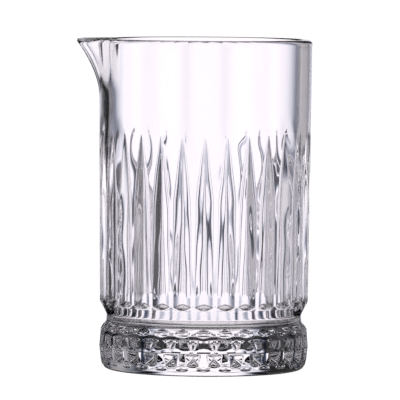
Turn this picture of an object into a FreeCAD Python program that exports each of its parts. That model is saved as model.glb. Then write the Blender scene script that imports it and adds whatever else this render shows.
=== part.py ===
"""Mixing glass: one piece of pressed clear glass with a pouring lip.

Millimetres, +Z up. The origin is the centre of the standing ring, on the plane the glass rests on.
The pouring lip points along -X.
"""
import FreeCAD, Part
import math
import os

# overall
HEIGHT = 150.0
COLUMNS = 30

# foot, outside: radii and heights from the table up
RING_R_IN = 41.0
RING_R_OUT = 44.3
DOME_RISE = 5.0
CHAMFER_R = 46.5
CHAMFER_Z = 2.2
CREASE_R = 47.6
CREASE_Z = 10.4
SHOULDER_R = 46.9
SHOULDER_Z = 18.2
NECK_R = 44.6
NECK_Z = 21.6
WAIST_R = 44.4
WAIST_Z = 24.0

# barrel and collar, outside
BARREL_R_LOW = 47.4
BARREL_Z_LOW = 31.0
COLLAR_R_TOP = 48.6
RIM_ROUND = 2.1

# cavity
CAVITY_R_TOP = 44.2
CAVITY_R_LOW = 42.6
FLOOR_Z = 21.8
FLOOR_ROUND = 3.5

# flutes: V grooves, pointed at the top and full for the lower part of the barrel
FLUTE_TIP_Z = 108.5
FLUTE_FULL_Z = 78.5
FLUTE_FOOT_Z = 33.4
FLUTE_END_Z = 29.4
FLUTE_DEPTH = 1.7
FLUTE_SLOPE = 19.0
FLUTE_GROWTH = 0.6
FLUTE_STEPS = 5

# foot relief: a rounded pillar below each flute, pointed hollows between the pillars
PILLAR_LOW_Z = 4.2
PILLAR_TOP_Z = 16.6
PILLAR_RUNOUT = 1.2
PILLAR_DEPTH = 0.5
BLOCK_LOW_Z = 5.0
BLOCK_TOP_Z = 10.0
BLOCK_HALF = 3.0
BLOCK_DEPTH = 3.1
WEDGE_LOW_Z = 12.2
WEDGE_TOP_Z = 15.4
WEDGE_HALF = 2.4
WEDGE_DEPTH = 2.2
HOLLOW_STEP = 0.8
HOLLOW_TOE = 3.0

# almond hollows on the pillars: middle height, half width, half height, depth
EYE_Z = 19.4
EYE_HALF = 3.6
EYE_RISE = 1.6
EYE_DEPTH = 0.6
LENS_Z = 3.6
LENS_HALF = 2.8
LENS_RISE = 1.0
LENS_DEPTH = 0.35

# pouring lip
LIP_START_Z = 124.0
LIP_REACH = 11.6
LIP_HALF_ANGLE = 23.0
LIP_CURVE = 1.75
LIP_INSET = 0.6
LIP_STEPS = 9

# sizes only needed so that a cutter clears what it cuts
CLEAR = 12.0


def point(radius, angle, z):
    """Point at a cylinder radius, an angle in degrees and a height."""
    turn = math.radians(angle)
    return FreeCAD.Vector(radius * math.cos(turn), radius * math.sin(turn), z)


def flat(x, z):
    """Point in the half plane that is turned into a solid."""
    return FreeCAD.Vector(x, 0.0, z)


def line(start, end):
    return Part.makeLine(start, end)


def arc(start, middle, end):
    return Part.Arc(start, middle, end).toShape()


def turned(edges):
    """Solid of revolution about Z from a closed chain of edges."""
    face = Part.Face(Part.Wire(edges))
    return face.revolve(FreeCAD.Vector(0, 0, 0), FreeCAD.Vector(0, 0, 1), 360.0)


def foot_profile():
    """Corners of the foot's outline, from the standing ring up to the waist."""
    return [
        (RING_R_OUT, 0.0),
        (CHAMFER_R, CHAMFER_Z),
        (CREASE_R, CREASE_Z),
        (SHOULDER_R, SHOULDER_Z),
        (NECK_R, NECK_Z),
        (WAIST_R, WAIST_Z),
    ]


def foot_radius(z):
    """Outside radius of the foot at a height, before the relief is cut."""
    corners = foot_profile()
    for (r_low, z_low), (r_high, z_high) in zip(corners, corners[1:]):
        if z_low <= z <= z_high:
            return r_low + (r_high - r_low) * (z - z_low) / (z_high - z_low)
    return WAIST_R


def outer_solid():
    """The whole outside as if the glass were solid: foot, waist, barrel, collar and rounded rim."""
    dome = flat(0.0, DOME_RISE)
    ring_in = flat(RING_R_IN, 0.0)
    corners = [flat(radius, z) for radius, z in foot_profile()]
    waist = corners[-1]
    barrel_low = flat(BARREL_R_LOW, BARREL_Z_LOW)
    rim_low = flat(COLLAR_R_TOP, HEIGHT - RIM_ROUND)
    rim_top = flat(COLLAR_R_TOP - RIM_ROUND, HEIGHT)
    bend = RIM_ROUND * (1.0 - math.sqrt(0.5))
    rim_mid = flat(COLLAR_R_TOP - bend, HEIGHT - bend)
    edges = [arc(dome, flat(RING_R_IN * 0.55, DOME_RISE * 0.72), ring_in)]
    edges.append(line(ring_in, corners[0]))
    edges.extend(line(start, end) for start, end in zip(corners, corners[1:]))
    edges.append(arc(waist, flat(WAIST_R + 1.35, WAIST_Z + 3.4), barrel_low))
    edges.append(line(barrel_low, rim_low))
    edges.append(arc(rim_low, rim_mid, rim_top))
    edges.append(line(rim_top, flat(0.0, HEIGHT)))
    edges.append(line(flat(0.0, HEIGHT), dome))
    return turned(edges)


def cavity_radius(z):
    """Inside radius of the slightly tapered cavity at a height."""
    share = (z - FLOOR_Z) / (HEIGHT - FLOOR_Z)
    return CAVITY_R_LOW + (CAVITY_R_TOP - CAVITY_R_LOW) * share


def cavity():
    """The drink space, with a rounded floor corner and a rounded inner rim."""
    corner_z = FLOOR_Z + FLOOR_ROUND
    corner_r = cavity_radius(corner_z)
    bend = FLOOR_ROUND * (1.0 - math.sqrt(0.5))
    rim_z = HEIGHT - RIM_ROUND
    rim_r = cavity_radius(rim_z)
    lip_bend = RIM_ROUND * (1.0 - math.sqrt(0.5))
    top = HEIGHT + CLEAR
    edges = [
        line(flat(0.0, FLOOR_Z), flat(corner_r - FLOOR_ROUND, FLOOR_Z)),
        arc(flat(corner_r - FLOOR_ROUND, FLOOR_Z), flat(corner_r - bend, FLOOR_Z + bend), flat(corner_r, corner_z)),
        line(flat(corner_r, corner_z), flat(rim_r, rim_z)),
        arc(flat(rim_r, rim_z), flat(rim_r + lip_bend, HEIGHT - lip_bend), flat(rim_r + RIM_ROUND, HEIGHT)),
        line(flat(rim_r + RIM_ROUND, HEIGHT), flat(rim_r + RIM_ROUND, top)),
        line(flat(rim_r + RIM_ROUND, top), flat(0.0, top)),
        line(flat(0.0, top), flat(0.0, FLOOR_Z)),
    ]
    return turned(edges)


def barrel_radius(z):
    """Outside radius of the slightly tapered barrel at a height."""
    share = (z - BARREL_Z_LOW) / (HEIGHT - RIM_ROUND - BARREL_Z_LOW)
    return BARREL_R_LOW + (COLLAR_R_TOP - BARREL_R_LOW) * share


def flute_section(z, depth):
    """Triangle across one groove, from its bottom edge to well outside the barrel."""
    root = barrel_radius(z) - depth
    reach = depth + CLEAR / 2.0
    half = reach / math.tan(math.radians(FLUTE_SLOPE))
    corners = [
        FreeCAD.Vector(root, 0.0, z),
        FreeCAD.Vector(root + reach, -half, z),
        FreeCAD.Vector(root + reach, half, z),
        FreeCAD.Vector(root, 0.0, z),
    ]
    return Part.makePolygon(corners)


def flute_cutter():
    """One groove: the V sinks in from the pointed tip and runs out over the barrel's lower edge."""
    sections = [flute_section(FLUTE_TIP_Z + 3.0, -0.4)]
    for step in range(FLUTE_STEPS + 1):
        share = (step / FLUTE_STEPS) ** 1.6
        z = FLUTE_TIP_Z + (FLUTE_FULL_Z - FLUTE_TIP_Z) * share
        sections.append(flute_section(z, FLUTE_DEPTH * share ** FLUTE_GROWTH))
    sections.append(flute_section(FLUTE_FOOT_Z, FLUTE_DEPTH))
    sections.append(flute_section(FLUTE_END_Z, 0.1))
    return Part.makeLoft(sections, True, True)


def around(shape, count):
    """Copies of a shape spaced evenly round the Z axis."""
    copies = []
    for index in range(count):
        copy = shape.copy()
        copy.rotate(FreeCAD.Vector(0, 0, 0), FreeCAD.Vector(0, 0, 1), index * 360.0 / count)
        copies.append(copy)
    return copies


def hollow_section(z, steps):
    """Outline across a hollow of the foot; steps are (distance from its middle, depth) going outward."""
    radius = foot_radius(z)
    right = [(math.sqrt(radius * radius - across * across) - depth, across) for across, depth in steps]
    right.append((radius + CLEAR, steps[-1][0]))
    left = [(x, -across) for x, across in reversed(right[1:])]
    corners = [FreeCAD.Vector(x, across, z) for x, across in left + right]
    return Part.makePolygon(corners + [corners[0]])


def hollow(levels):
    """Cutter for one hollow from its outlines at several heights."""
    return Part.makeLoft([hollow_section(z, steps) for z, steps in levels], True, True)


def between_columns(cutter):
    cutter.rotate(FreeCAD.Vector(0, 0, 0), FreeCAD.Vector(0, 0, 1), 180.0 / COLUMNS)
    return cutter


def pillar_gap():
    """Shallow curved trough between two pillars, running out at both ends."""
    half = math.pi * CREASE_R / COLUMNS - 0.15
    full = [(0.0, PILLAR_DEPTH), (0.5 * half, 0.25 * PILLAR_DEPTH), (half, 0.0)]
    none = [(0.0, -0.05), (0.5 * half, -0.05), (half, -0.05)]
    levels = [
        (PILLAR_LOW_Z, none),
        (PILLAR_LOW_Z + PILLAR_RUNOUT, full),
        (PILLAR_TOP_Z - PILLAR_RUNOUT, full),
        (PILLAR_TOP_Z, none),
    ]
    return between_columns(hollow(levels))


def pointed_hollow(low, top, half_low, half_top, depth):
    """A V that deepens upward from its toe and ends in a steep step along a level top edge."""
    shallow = 0.1 * PILLAR_DEPTH
    toe = min(HOLLOW_TOE, 0.6 * (top - low))
    levels = [
        (low, [(0.0, shallow), (half_low, 0.0)]),
        (low + toe, [(0.0, depth), (half_low + (half_top - half_low) * toe / (top - low), shallow)]),
        (top - HOLLOW_STEP, [(0.0, depth), (half_top, shallow)]),
        (top, [(0.0, shallow), (half_top, 0.0)]),
    ]
    return between_columns(hollow(levels))


def almond(middle, half, rise, depth):
    """Shallow almond hollow on a pillar."""
    levels = [
        (middle - rise, [(0.0, -0.05), (0.3, -0.05)]),
        (middle - 0.4 * rise, [(0.0, 0.8 * depth), (0.8 * half, 0.0)]),
        (middle, [(0.0, depth), (half, 0.0)]),
        (middle + 0.4 * rise, [(0.0, 0.8 * depth), (0.8 * half, 0.0)]),
        (middle + rise, [(0.0, -0.05), (0.3, -0.05)]),
    ]
    return hollow(levels)


def relief_cutters():
    """Everything that is cut into the foot under one column."""
    return [
        pillar_gap(),
        pointed_hollow(BLOCK_LOW_Z, BLOCK_TOP_Z, 0.8 * BLOCK_HALF, BLOCK_HALF, BLOCK_DEPTH),
        pointed_hollow(WEDGE_LOW_Z, WEDGE_TOP_Z, 0.4, WEDGE_HALF, WEDGE_DEPTH),
        almond(EYE_Z, EYE_HALF, EYE_RISE, EYE_DEPTH),
        almond(LENS_Z, LENS_HALF, LENS_RISE, LENS_DEPTH),
    ]


def lip_bulge(z):
    """How far the lip stands out of the collar at a height."""
    share = max(0.0, (z - LIP_START_Z) / (HEIGHT - LIP_START_Z))
    return LIP_REACH * share ** LIP_CURVE


def lip_section(base_radius, bulge, z):
    """Closed outline: the bulging curve outside and a straight chord back inside the wall."""
    curve = []
    steps = 16
    for index in range(steps + 1):
        turn = LIP_HALF_ANGLE * (2.0 * index / steps - 1.0)
        swell = math.cos(math.radians(90.0 * turn / LIP_HALF_ANGLE)) ** 2
        curve.append(point(base_radius - LIP_INSET + bulge * swell, 180.0 + turn, z))
    spline = Part.BSplineCurve()
    spline.interpolate(curve)
    return Part.Wire([spline.toShape(), line(curve[-1], curve[0])])


def lip_levels():
    """Heights of the lip's outlines, closer together where the rim is rounded."""
    body_top = HEIGHT - RIM_ROUND
    levels = [LIP_START_Z + (body_top - LIP_START_Z) * index / LIP_STEPS for index in range(LIP_STEPS + 1)]
    for turn in (30.0, 60.0, 90.0):
        levels.append(body_top + RIM_ROUND * math.sin(math.radians(turn)))
    return levels


def rim_setback(z):
    """How far the rounded rim has drawn in at a height."""
    rise = min(1.0, max(0.0, (z - HEIGHT + RIM_ROUND) / RIM_ROUND))
    return RIM_ROUND * (1.0 - math.sqrt(1.0 - rise * rise))


def lip_outside():
    sections = []
    for z in lip_levels():
        base = barrel_radius(min(z, HEIGHT - RIM_ROUND))
        sections.append(lip_section(base, lip_bulge(z) - rim_setback(z), z))
    return Part.makeLoft(sections, True, True)


def lip_channel():
    """The hollow of the lip, opening out at the rounded rim and running past the top."""
    sections = []
    for z in lip_levels():
        base = cavity_radius(z)
        sections.append(lip_section(base, lip_bulge(z) + rim_setback(z), z))
    bulge = lip_bulge(HEIGHT) + RIM_ROUND
    sections.append(lip_section(cavity_radius(HEIGHT), bulge, HEIGHT + CLEAR))
    return Part.makeLoft(sections, True, True)


def glass():
    """Solid outside with the lip, foot relief and flutes, then the cavity and the lip's channel."""
    body = outer_solid()
    for cutter in relief_cutters():
        body = body.cut(around(cutter, COLUMNS))
    body = body.fuse(lip_outside())
    body = body.cut(around(flute_cutter(), COLUMNS))
    body = body.cut([cavity(), lip_channel()])
    return body


def main():
    os.makedirs("parts", exist_ok=True)
    body = glass()
    solid = body.Solids[0]
    print("solids", len(body.Solids), "valid", solid.isValid())
    print("volume ml", round(solid.Volume / 1000.0, 1), "faces", len(solid.Faces))
    box = solid.optimalBoundingBox(True, False)
    print("size", round(box.XLength, 2), round(box.YLength, 2), round(box.ZLength, 2))
    solid.exportStep("parts/glass_body.step")


main()
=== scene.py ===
import math

import bpy
import numpy as np
from mathutils import Matrix, Quaternion, Vector


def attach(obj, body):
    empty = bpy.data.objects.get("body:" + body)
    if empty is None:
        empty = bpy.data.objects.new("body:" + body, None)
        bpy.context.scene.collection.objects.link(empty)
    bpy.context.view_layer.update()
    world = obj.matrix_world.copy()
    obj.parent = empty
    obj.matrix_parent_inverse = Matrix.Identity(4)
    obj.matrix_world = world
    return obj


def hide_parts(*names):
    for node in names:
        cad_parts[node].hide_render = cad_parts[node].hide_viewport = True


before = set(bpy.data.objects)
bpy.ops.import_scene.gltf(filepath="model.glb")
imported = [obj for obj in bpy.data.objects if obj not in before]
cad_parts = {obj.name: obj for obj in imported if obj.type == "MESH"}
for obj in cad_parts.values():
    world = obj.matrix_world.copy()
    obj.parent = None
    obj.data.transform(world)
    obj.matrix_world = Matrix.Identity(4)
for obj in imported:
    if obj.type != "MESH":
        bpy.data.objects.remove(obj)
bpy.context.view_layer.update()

# The glass, in millimetres. Angle 0 is the side that faces the camera, and the lip is at -90 degrees.
MM = 0.001
HEIGHT = 150.0
COLUMNS = 30
HALF = math.pi / COLUMNS
WALL_RADIUS = 48.0
RIM_RADIUS = 48.6
RIM_ROUND = 2.1
OUTSIDE = (
    (0.0, 44.3), (0.5, 45.2), (2.2, 46.4), (4.8, 47.0), (10.4, 47.6), (16.4, 47.2), (18.2, 46.9),
    (19.6, 46.1), (20.8, 45.1), (21.8, 44.5), (24.0, 44.4), (25.4, 44.7), (27.4, 45.75), (29.4, 46.8),
    (31.0, 47.4), (60.0, 47.75), (100.0, 48.1), (146.0, 48.5), (147.9, RIM_RADIUS),
)

# The underside and the inside.
DOME_R = 41.0
DOME_RISE = 5.0
DOME_RADII = (4.0, 10.0, 17.0, 24.0, 32.0, 37.0, 40.2)
STANDING_RADII = (DOME_R, 43.0, 43.9)
FLOOR_Z = 21.8
FLOOR_ROUND = 3.5
FLOOR_RADII = (34.0, 28.0, 22.0, 16.0, 10.0, 4.0)
CAVITY_LOW = 42.6
CAVITY_TOP = 44.2

# The flutes: heights, half width and its growth below the tip, slope, and how round they get.
FLUTE_TIP = 108.5
FLUTE_FULL = 33.4
FLUTE_END = 29.4
FLUTE_START = 28.5
FLUTE_HALF = 4.35
FLUTE_LEAST = 0.02
FLUTE_SLOPE = 36.0
FLUTE_GROWTH = 0.6
FLUTE_WIDE = 0.4
FLUTE_OPENING = 1.5
FLUTE_ROUND = 0.8
FLUTE_SOFT = 0.15
END_ZONE = 40.0
END_SLOPE = 0.55
END_CURVE = 1.7
EDGE_SOFT = 0.06
CREASE_LEAST = 0.3

# The foot's relief. PILLAR is low, high, depth; BLOCK and WEDGE are low, high, half width at the
# low and the high end, depth; EYE and LENS are height, half width, half height, depth.
FOOT_TOP = 24.0
PITCH_HALF = 5.0
PILLAR = (4.2, 16.6, 0.5)
PILLAR_RAMP = 1.2
BLOCK = (5.0, 10.0, 2.6, 3.4, 2.6)
WEDGE = (12.2, 15.4, 0.1, 2.4, 1.8)
NOTCH_STEP = 0.8
NOTCH_TOE = 3.0
EYE = (19.2, 3.8, 1.6, 0.6)
LENS = (3.6, 3.0, 1.1, 0.4)

# The pouring lip.
LIP_START = 124.0
LIP_REACH = 11.0
LIP_THIN = 1.6
LIP_ANGLE = math.radians(23.0)
LIP_CURVE = 1.75

# The waviness of the inside wall: waves round the glass, waves per millimetre up it, phases.
RIPPLE = 0.42
RIPPLE_COUNT = 10
RIPPLE_START = 36.0
RIPPLE_TOP = 116.0
RIPPLE_FADE = 14.0
RIPPLE_N = (6, 26)
RIPPLE_K = (0.05, 0.3)
RIPPLE_PHASE = (0, 6.28)

# The white panels that the glass sees: metres and degrees. Each side panel is name, turn and drop
# of the direction it stands in, the angles between which its top fades, and its share of the light.
PANEL_AWAY = 0.6
PANEL_SIZE = (0.64, 1.5)
PANEL_TOP = (20.0, 30.0)
PANEL_LOW = (-40.0, -45.0)
PANEL_SIDE = 13.0
PANEL_DARK = 0.02
PANEL_CHANNELS = ((10.6, 1.13), (10.9, 1.075), (11.4, 1.13))
SIDE_PANELS = (
    ("panel_left", 90.0, 3.0, PANEL_TOP, 0.88),
    ("panel_low", 45.0, 25.0, (8.0, 15.0), 0.95),
    ("panel_front", 225.0, 15.0, PANEL_TOP, 0.88),
    ("panel_left_near", 135.0, 15.0, PANEL_TOP, 0.6),
    ("panel_near", 180.0, 10.0, PANEL_TOP, 0.6),
    ("panel_right", 270.0, 10.0, PANEL_TOP, 0.6),
    ("panel_right_far", 315.0, 15.0, PANEL_TOP, 0.4),
)
UNDER_DEPTH = 0.3
UNDER_SIZE = 0.5
UNDER_LIGHT = 0.9

# The dark disc under the foot: distances from its middle in metres, and how clear it is there.
DISC_SIZE = 0.8
DISC_DEPTH = 0.0006
DISC_COLOUR = (0.03, 0.03, 0.035, 1.0)
DISC_FADE = (0.16, 0.2)
DEEP_SURFACES = 2.5
DEEP_FADE = (0.08, 0.12)
DEEP_CLEAR = 0.55
MIDDLE_FADE = (0.038, 0.042)
MIDDLE_CLEAR = 0.7

FLOOR_SIZE = 8.0
FLOOR_DEPTH = 0.0008
WHITE = 1.05
WORLD_DARK = 0.02

# The camera. UNIT is one four-hundredth of the picture's width at the glass.
UNIT = HEIGHT / 330.0 * MM
PICTURE = 400.0
SENSOR = 36.0
CAMERA_AWAY = 4525.0 * UNIT
CAMERA_SIDE = -4.6 * UNIT
CAMERA_HEIGHT = 0.1945
CAMERA_LOOK = 168.5 * UNIT
CAMERA_ROLL = math.radians(0.43)

rng = np.random.default_rng(7)


def soft_abs(x, e):
    return np.sqrt(x * x + e * e)


def soft_min(a, b, e):
    return 0.5 * (a + b - np.sqrt((a - b) ** 2 + e * e))


def clamped(value):
    return min(1.0, max(0.0, value))


def envelope(z):
    return float(np.interp(z, [p[0] for p in OUTSIDE], [p[1] for p in OUTSIDE]))


def cavity_radius(z):
    return CAVITY_LOW + (CAVITY_TOP - CAVITY_LOW) * (z - FLOOR_Z) / (HEIGHT - FLOOR_Z)


def flute_share(z):
    """0 at the pointed tip, 1 where the flute is full."""
    return clamped((FLUTE_TIP - z) / (FLUTE_TIP - FLUTE_FULL))


def flute_half(z):
    return max(FLUTE_LEAST, FLUTE_HALF * min(1.0, flute_share(z) / FLUTE_WIDE) ** FLUTE_GROWTH)


def notch(gap, z, low, high, half_low, half_high, deep):
    """A pointed hollow cut between two columns, with a steep step along its level top edge."""
    if not low < z < high:
        return 0.0 * gap
    half = half_low + (half_high - half_low) * (z - low) / (high - low)
    ends = min(1.0, (high - z) / NOTCH_STEP, (z - low) / NOTCH_TOE)
    return deep * np.clip(np.minimum(1.0 - gap / half, ends), 0.0, 1.0)


def dimple(side, z, middle, half_wide, half_high, deep):
    """A shallow almond hollow on a column."""
    inside = 1.0 - (side / half_wide) ** 2 - ((z - middle) / half_high) ** 2
    return deep * np.clip(inside, 0.0, 1.0)


def relief(t, z):
    """Foot radius: rounded pillars at the columns, hollows between them, almonds on the pillars."""
    side = PITCH_HALF * np.abs(t)
    gap = PITCH_HALF - side
    low, high, deep = PILLAR
    share = clamped((z - low) / PILLAR_RAMP) * clamped((high - z) / PILLAR_RAMP)
    cut = share * deep * (side / PITCH_HALF) ** 2
    cut = cut + notch(gap, z, *BLOCK) + notch(gap, z, *WEDGE)
    cut = cut + dimple(side, z, *EYE) + dimple(side, z, *LENS)
    return envelope(z) - cut


def flute(t, z):
    """Barrel radius: a narrow V under the tip that opens into a round hollow lower down."""
    x = t * HALF * WALL_RADIUS
    half = flute_half(z)
    power = 1.0 + FLUTE_ROUND * flute_share(z) ** FLUTE_OPENING
    deep = half * math.tan(math.radians(FLUTE_SLOPE)) / 2.0
    s = np.minimum(soft_abs(x / half, FLUTE_SOFT / half), 1.0)
    depth = deep * np.maximum(1.0 - s ** power, 0.0) ** (3.0 - power)
    if z < END_ZONE:
        end = END_SLOPE * (z - FLUTE_END - END_CURVE * (x / FLUTE_HALF) ** 2)
        depth = soft_min(depth, end, EDGE_SOFT)
    return envelope(z) - 0.5 * (depth + soft_abs(depth, EDGE_SOFT))


def outside_radius(t, z):
    if z < FOOT_TOP:
        return relief(t, z)
    if FLUTE_START < z < FLUTE_TIP:
        return flute(t, z)
    return np.full(len(t), envelope(z))


def crease(z, kind):
    """Where the sharpest line of a row falls beside a column's centre, so that the mesh follows it."""
    if kind == "outside" and FLUTE_START < z < FLUTE_TIP:
        return max(flute_half(z), CREASE_LEAST) / (WALL_RADIUS * HALF)
    return 0.5


def crowded(count, start, end):
    """Steps from start to end, closer together at both ends."""
    u = np.linspace(0.0, 1.0, count + 1)
    u = 0.5 * u + 0.5 * u * u * (3.0 - 2.0 * u)
    return (start + (end - start) * u)[:-1]


def row_angles(z, kind):
    """One column's steps, from -1 to 1, crowded at its centre and at its creases."""
    w = min(max(crease(z, kind), 0.03), 0.95)
    spans = ((5, -1.0, -w), (10, -w, 0.0), (10, 0.0, w), (5, w, 1.0))
    return np.concatenate([crowded(*span) for span in spans])


def lip_bulge(angle, z):
    off = (angle + math.pi / 2.0 + math.pi) % (2.0 * math.pi) - math.pi
    swell = np.where(np.abs(off) < LIP_ANGLE, np.cos(off / LIP_ANGLE * math.pi / 2.0) ** 2, 0.0)
    return LIP_REACH * max(0.0, (z - LIP_START) / (HEIGHT - LIP_START)) ** LIP_CURVE * swell


def outside_heights():
    """Dense rows at the foot, the flutes' lower ends and their tips, wider ones between."""
    heights = [0.0, 0.25, 0.5, 0.9, 1.4] + list(np.linspace(1.6, FOOT_TOP, 90))
    for start, end, step in (
        (24.6, 37.0, 0.3), (37.5, 98.0, 1.5), (98.5, FLUTE_TIP + 0.6, 0.4),
        (111.0, LIP_START, 3.0), (LIP_START, HEIGHT - RIM_ROUND, 1.0),
    ):
        heights += list(np.arange(start, end, step))
    return heights


def rows():
    """(height, radius or None, kind) from the middle of the underside, up the outside and down the inside."""
    out = [(DOME_RISE * (1.0 - (r / DOME_R) ** 2), r, "under") for r in DOME_RADII]
    out += [(0.0, r, "under") for r in STANDING_RADII]
    out += [(float(z), None, "outside") for z in outside_heights()]
    turns = np.linspace(0.0, math.pi / 2.0, 7)
    for a in turns:
        z = HEIGHT - RIM_ROUND * (1.0 - math.sin(a))
        out.append((z, RIM_RADIUS - RIM_ROUND * (1.0 - math.cos(a)), "rim"))
    for a in turns[::-1]:
        z = HEIGHT - RIM_ROUND * (1.0 - math.sin(a))
        out.append((z, cavity_radius(HEIGHT - RIM_ROUND) + RIM_ROUND * (1.0 - math.cos(a)), "inside"))
    corner = FLOOR_Z + FLOOR_ROUND
    down = list(np.arange(147.5, LIP_START, -1.0)) + list(np.arange(123.5, corner + 1.0, -2.0))
    out += [(float(z), cavity_radius(z), "inside") for z in down]
    for a in np.linspace(0.0, math.pi / 2.0, 13):
        z = FLOOR_Z + FLOOR_ROUND * (1.0 - math.sin(a))
        out.append((z, cavity_radius(corner) - FLOOR_ROUND * (1.0 - math.cos(a)), "inside"))
    out += [(FLOOR_Z, r, "inside") for r in FLOOR_RADII]
    return out


RIPPLES = [
    (rng.integers(*RIPPLE_N), rng.uniform(*RIPPLE_K), rng.uniform(*RIPPLE_PHASE), rng.uniform(*RIPPLE_PHASE))
    for _ in range(RIPPLE_COUNT)
]


def ripple(angle, z):
    """Slow unevenness of pressed glass, fading out below the collar."""
    total = np.zeros(len(angle))
    for n, k, a, b in RIPPLES:
        total += np.sin(n * angle + a) * math.sin(k * z + b)
    return RIPPLE * clamped((RIPPLE_TOP - z) / RIPPLE_FADE) * total / RIPPLE_COUNT


def ring(z, radius, kind):
    """The points of one row, in millimetres."""
    t = row_angles(z, kind)
    r = outside_radius(t, z) if radius is None else np.full(len(t), radius)
    turns = np.concatenate([2.0 * HALF * k + t * HALF for k in range(COLUMNS)])
    r = np.tile(r, COLUMNS)
    thin = 0.0
    if kind == "inside":
        rise = clamped((z - HEIGHT + RIM_ROUND) / RIM_ROUND)
        thin = LIP_THIN / LIP_REACH * math.sqrt(1.0 - rise * rise)
    r = r + lip_bulge(turns, z) * (1.0 + thin)
    if kind == "inside" and z > RIPPLE_START:
        r = r + ripple(turns, z)
    return np.stack([r * np.sin(turns), -r * np.cos(turns), np.full(len(r), z)], 1)


def glass_mesh():
    """One closed mesh: the rows joined in order, and a fan at each end."""
    rings = [ring(*level) for level in rows()]
    count = len(rings[0])
    points = (np.concatenate(rings) * MM).tolist()
    here = np.arange(count)
    after = (here + 1) % count
    faces = []
    for i in range(len(rings) - 1):
        a = i * count
        faces += np.stack([a + here, a + after, a + count + after, a + count + here], 1).tolist()
    points += [[0.0, 0.0, DOME_RISE * MM], [0.0, 0.0, FLOOR_Z * MM]]
    last = (len(rings) - 1) * count
    for j in range(count):
        k = (j + 1) % count
        faces += [[len(points) - 2, k, j], [len(points) - 1, last + j, last + k]]
    mesh = bpy.data.meshes.new("mixing_glass")
    mesh.from_pydata(points, [], faces)
    mesh.shade_smooth()
    return mesh


def node_tree(owner):
    owner.use_nodes = True
    tree = owner.node_tree
    tree.nodes.clear()
    return tree


def surface(tree, shader, output="ShaderNodeOutputMaterial"):
    out = tree.nodes.new(output)
    tree.links.new(shader.outputs[0], out.inputs["Surface"])


def calc(tree, operation, *values):
    node = tree.nodes.new("ShaderNodeMath")
    node.operation = operation
    for socket, value in zip(node.inputs, values):
        if isinstance(value, (int, float)):
            socket.default_value = value
        else:
            tree.links.new(value, socket)
    return node.outputs[0]


def fade(tree, value, span, high=1.0, low=0.0):
    """high below the span's start, low above its end, smooth between."""
    node = tree.nodes.new("ShaderNodeMapRange")
    node.interpolation_type = "SMOOTHSTEP"
    tree.links.new(value, node.inputs[0])
    for socket, number in zip(node.inputs[1:5], (*span, high, low)):
        socket.default_value = number
    return node.outputs[0]


def angle_fade(tree, value, span, high=1.0, low=0.0):
    return fade(tree, value, [math.radians(a) for a in span], high, low)


def glow(tree, colour, strength):
    light = tree.nodes.new("ShaderNodeEmission")
    light.inputs["Color"].default_value = colour
    light.inputs["Strength"].default_value = strength
    return light


def mixed(tree, factor, first, second):
    mix = tree.nodes.new("ShaderNodeMixShader")
    for socket, value in zip(mix.inputs, (factor, first, second)):
        tree.links.new(value, socket)
    return mix


def clear_glass():
    """Clear glass with the faintest violet cast."""
    material = bpy.data.materials.new("clear_glass")
    tree = node_tree(material)
    glass = tree.nodes.new("ShaderNodeBsdfPrincipled")
    glass.inputs["Base Color"].default_value = (0.992, 0.984, 0.996, 1.0)
    glass.inputs["Transmission Weight"].default_value = 1.0
    glass.inputs["Roughness"].default_value = 0.0
    glass.inputs["IOR"].default_value = 1.52
    surface(tree, glass)
    return material


def add_object(name, mesh):
    thing = bpy.data.objects.new(name, mesh)
    bpy.context.scene.collection.objects.link(thing)
    return thing


def sheet(name, width, depth, z, to_camera):
    """A flat stage piece that either the camera or the glass sees, and the tree of its material."""
    mesh = bpy.data.meshes.new(name)
    w, d = width / 2.0, depth / 2.0
    mesh.from_pydata([(-w, -d, z), (w, -d, z), (w, d, z), (-w, d, z)], [], [(0, 1, 2, 3)])
    thing = add_object(name, mesh)
    thing.visible_camera = to_camera
    thing.visible_diffuse = to_camera
    thing.visible_glossy = not to_camera
    thing.visible_transmission = not to_camera
    thing.visible_shadow = False
    thing.visible_volume_scatter = False
    material = bpy.data.materials.new(name)
    mesh.materials.append(material)
    return thing, node_tree(material)


def camera():
    """Long lens a little above the rim, aimed at the glass."""
    data = bpy.data.cameras.new("camera")
    data.sensor_width = SENSOR
    data.lens = SENSOR * CAMERA_AWAY / (PICTURE * UNIT)
    data.clip_end = 50.0
    thing = add_object("camera", data)
    thing.location = (CAMERA_SIDE, -CAMERA_AWAY, CAMERA_HEIGHT)
    look = Vector((CAMERA_SIDE, 0.0, CAMERA_LOOK)) - thing.location
    thing.rotation_mode = "QUATERNION"
    thing.rotation_quaternion = look.to_track_quat("-Z", "Y") @ Quaternion((0, 0, 1), CAMERA_ROLL)
    bpy.context.scene.camera = thing
    return thing


def aimed(turn, drop):
    """At the middle of the glass, looking away from +Y by turn towards -X and down by drop."""
    way = Vector((-math.sin(turn) * math.cos(drop), math.cos(turn) * math.cos(drop), -math.sin(drop)))
    middle = Matrix.Translation((0.0, 0.0, HEIGHT / 2.0 * MM))
    return middle @ way.to_track_quat("-Z", "Y").to_matrix().to_4x4()


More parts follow.
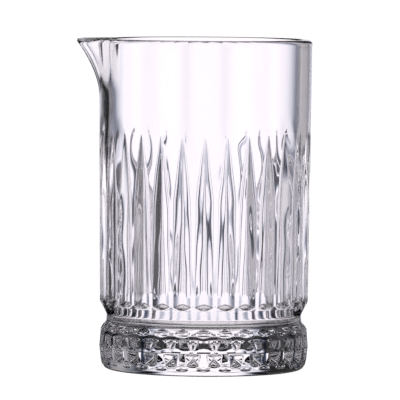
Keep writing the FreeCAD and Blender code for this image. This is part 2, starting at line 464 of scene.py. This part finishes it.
def light_panel(name, place, top, share=1.0):
    """Upright white panel that fades to dark at its sides; place is at the glass, looking to the panel."""
    panel, tree = sheet(name, *PANEL_SIZE, 0.0, False)
    panel.matrix_world = place @ Matrix.Translation((0.0, 0.0, -PANEL_AWAY))
    point = tree.nodes.new("ShaderNodeTexCoord")
    split = tree.nodes.new("ShaderNodeSeparateXYZ")
    tree.links.new(point.outputs["Object"], split.inputs[0])
    aside = calc(tree, "ABSOLUTE", split.outputs["X"])
    turn = calc(tree, "ARCTANGENT", calc(tree, "DIVIDE", aside, PANEL_AWAY))
    rise = calc(tree, "ARCTANGENT", calc(tree, "DIVIDE", split.outputs["Y"], PANEL_AWAY))
    foot = angle_fade(tree, rise, PANEL_LOW[::-1], 0.0, 1.0)
    level = calc(tree, "MULTIPLY", angle_fade(tree, rise, top), foot)
    colour = tree.nodes.new("ShaderNodeCombineColor")
    for channel, (start, strength) in enumerate(PANEL_CHANNELS):
        across = angle_fade(tree, turn, (start, start + PANEL_SIDE), share * strength)
        lit = calc(tree, "MULTIPLY", level, across)
        tree.links.new(calc(tree, "MAXIMUM", lit, PANEL_DARK), colour.inputs[channel])
    light = tree.nodes.new("ShaderNodeEmission")
    tree.links.new(colour.outputs[0], light.inputs["Color"])
    surface(tree, light)
    return panel


def shade_disc():
    """Dark spot on the floor under the foot, seen only through the glass, with a partly clear middle.

    Rays that have crossed the barrel as well as the foot see it partly clear.
    """
    disc, tree = sheet("shade_disc", DISC_SIZE, DISC_SIZE, -DISC_DEPTH, False)
    point = tree.nodes.new("ShaderNodeTexCoord")
    length = tree.nodes.new("ShaderNodeVectorMath")
    length.operation = "LENGTH"
    tree.links.new(point.outputs["Object"], length.inputs[0])
    out_from_middle = length.outputs["Value"]
    dark = tree.nodes.new("ShaderNodeBsdfDiffuse")
    dark.inputs["Color"].default_value = DISC_COLOUR
    clear = tree.nodes.new("ShaderNodeBsdfTransparent")
    path = tree.nodes.new("ShaderNodeLightPath")
    beyond = fade(tree, out_from_middle, DISC_FADE, 0.0, 1.0)
    deeper = calc(tree, "GREATER_THAN", path.outputs["Transmission Depth"], DEEP_SURFACES)
    deeper = calc(tree, "MULTIPLY", deeper, fade(tree, out_from_middle, DEEP_FADE, DEEP_CLEAR, 1.0))
    middle = fade(tree, out_from_middle, MIDDLE_FADE, MIDDLE_CLEAR, 0.0)
    clearness = calc(tree, "MAXIMUM", calc(tree, "MAXIMUM", beyond, middle), deeper)
    surface(tree, mixed(tree, clearness, dark.outputs[0], clear.outputs[0]))
    return disc


def under_panel():
    """Faint upward light below the floor, for looking down into the glass."""
    panel, tree = sheet("panel_under", UNDER_SIZE, UNDER_SIZE, -UNDER_DEPTH, False)
    surface(tree, glow(tree, (1.0, 0.98, 1.0, 1.0), UNDER_LIGHT))
    return panel


def pale_floor():
    floor, tree = sheet("pale_floor", FLOOR_SIZE, FLOOR_SIZE, -FLOOR_DEPTH, True)
    surface(tree, glow(tree, (1.0, 1.0, 1.0, 1.0), WHITE))
    return floor


def surroundings():
    """White to the eye, nearly dark to the glass, so that edges and facets draw dark lines."""
    world = bpy.data.worlds.new("studio")
    bpy.context.scene.world = world
    tree = node_tree(world)
    path = tree.nodes.new("ShaderNodeLightPath")
    dark = tree.nodes.new("ShaderNodeBackground")
    dark.inputs["Color"].default_value = (WORLD_DARK, WORLD_DARK, 1.1 * WORLD_DARK, 1.0)
    white = tree.nodes.new("ShaderNodeBackground")
    white.inputs["Color"].default_value = (1.0, 1.0, 1.0, 1.0)
    white.inputs["Strength"].default_value = WHITE
    seen = mixed(tree, path.outputs["Is Camera Ray"], dark.outputs[0], white.outputs[0])
    surface(tree, seen, "ShaderNodeOutputWorld")


body = add_object("mixing_glass", glass_mesh())
body.data.materials.append(clear_glass())
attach(body, "root")
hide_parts("glass_body")

behind = camera().matrix_basis @ Matrix.Translation((0.0, 0.0, -CAMERA_AWAY))
panels = [light_panel("panel_back", behind, PANEL_TOP)]
for name, turn, drop, top, share in SIDE_PANELS:
    panels.append(light_panel(name, aimed(math.radians(turn), math.radians(drop)), top, share))
shade_disc()
under_panel()
pale_floor()
surroundings()
bpy.context.scene.view_settings.view_transform = "Standard"
bpy.context.scene.cycles.max_bounces = 24
bpy.context.scene.cycles.transmission_bounces = 24
bpy.context.scene.cycles.glossy_bounces = 16
